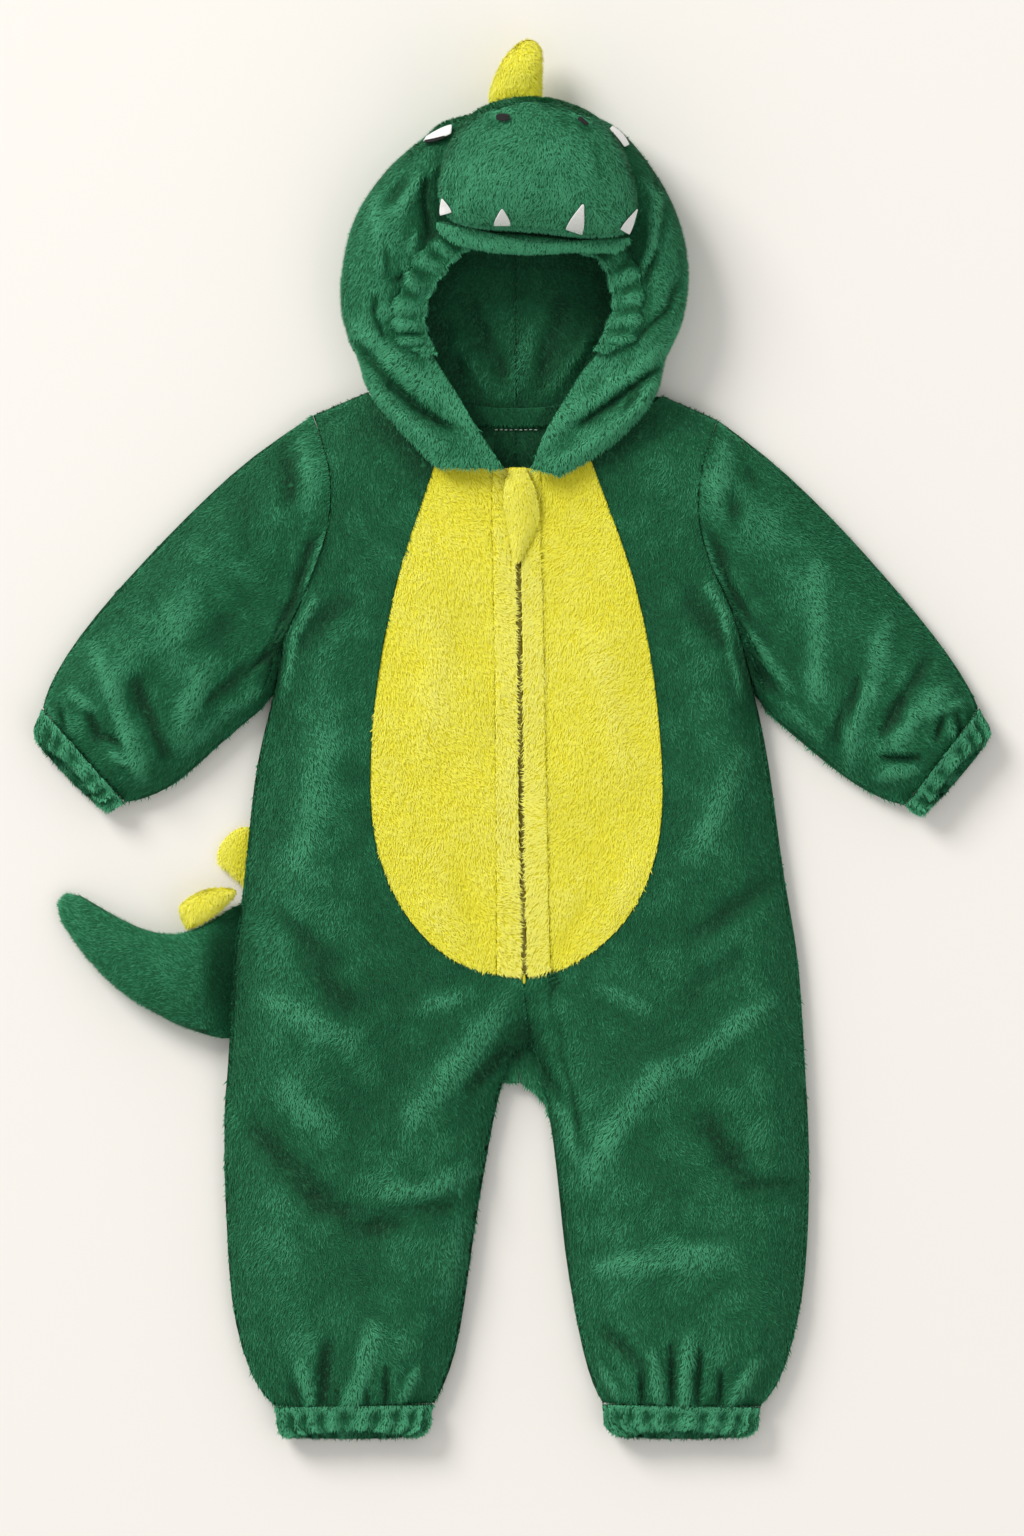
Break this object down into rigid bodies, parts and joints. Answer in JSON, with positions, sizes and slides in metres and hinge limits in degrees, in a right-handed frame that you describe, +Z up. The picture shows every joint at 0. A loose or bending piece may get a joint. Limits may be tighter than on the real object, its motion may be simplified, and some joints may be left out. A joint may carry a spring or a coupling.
{
  "type": "baby dragon costume",
  "caption": "Green and yellow plush baby dragon costume laid flat: hooded zip suit with stuffed snout, teeth, head spike, gathered cuffs and a stuffed spiked tail.",
  "frame": {"origin": "flat underside of the back, on the ground, near the middle of the costume", "axes": "+X to the wearer's left, +Y from the hems up to the hood, +Z up out of the front"},
  "size_m": [0.6202, 0.9105, 0.0971],
  "materials": {
    "green_plush": "short napped plush",
    "gathered_plush": "short napped plush, gathered",
    "yellow_plush": "short napped plush",
    "zip_tape": "woven tape",
    "zip_plastic": "moulded",
    "white_felt": "felt",
    "black_felt": "felt"
  },
  "bodies": {
    "root": {"front_right": "green_plush", "front_left": "green_plush", "back_right": "green_plush", "back_left": "green_plush", "sleeve_front_right": "green_plush", "sleeve_front_left": "green_plush", "sleeve_back_right": "green_plush", "sleeve_back_left": "green_plush", "hood_right": "green_plush", "hood_left": "green_plush", "snout": "green_plush", "snout_underside": "green_plush", "tail": "green_plush", "leg_cuff_right": "gathered_plush", "leg_cuff_left": "gathered_plush", "sleeve_cuff_right": "gathered_plush", "sleeve_cuff_left": "gathered_plush", "hood_casing_right": "gathered_plush", "hood_casing_left": "gathered_plush", "neck_binding": "gathered_plush", "belly_right": "yellow_plush", "belly_left": "yellow_plush", "zip_strip_right": "yellow_plush", "zip_strip_left": "yellow_plush", "zip_leaf": "yellow_plush", "head_spike": "yellow_plush", "tail_spike_upper": "yellow_plush", "tail_spike_lower": "yellow_plush", "zip_tape": "zip_tape", "zip_chain": "zip_plastic", "zip_slider": "zip_plastic", "tooth_1": "white_felt", "tooth_2": "white_felt", "tooth_3": "white_felt", "tooth_4": "white_felt", "eye_white_right": "white_felt", "eye_white_left": "white_felt", "pupil_right": "black_felt", "nostril_right": "black_felt", "nostril_left": "black_felt"}
  },
  "joints": []
}
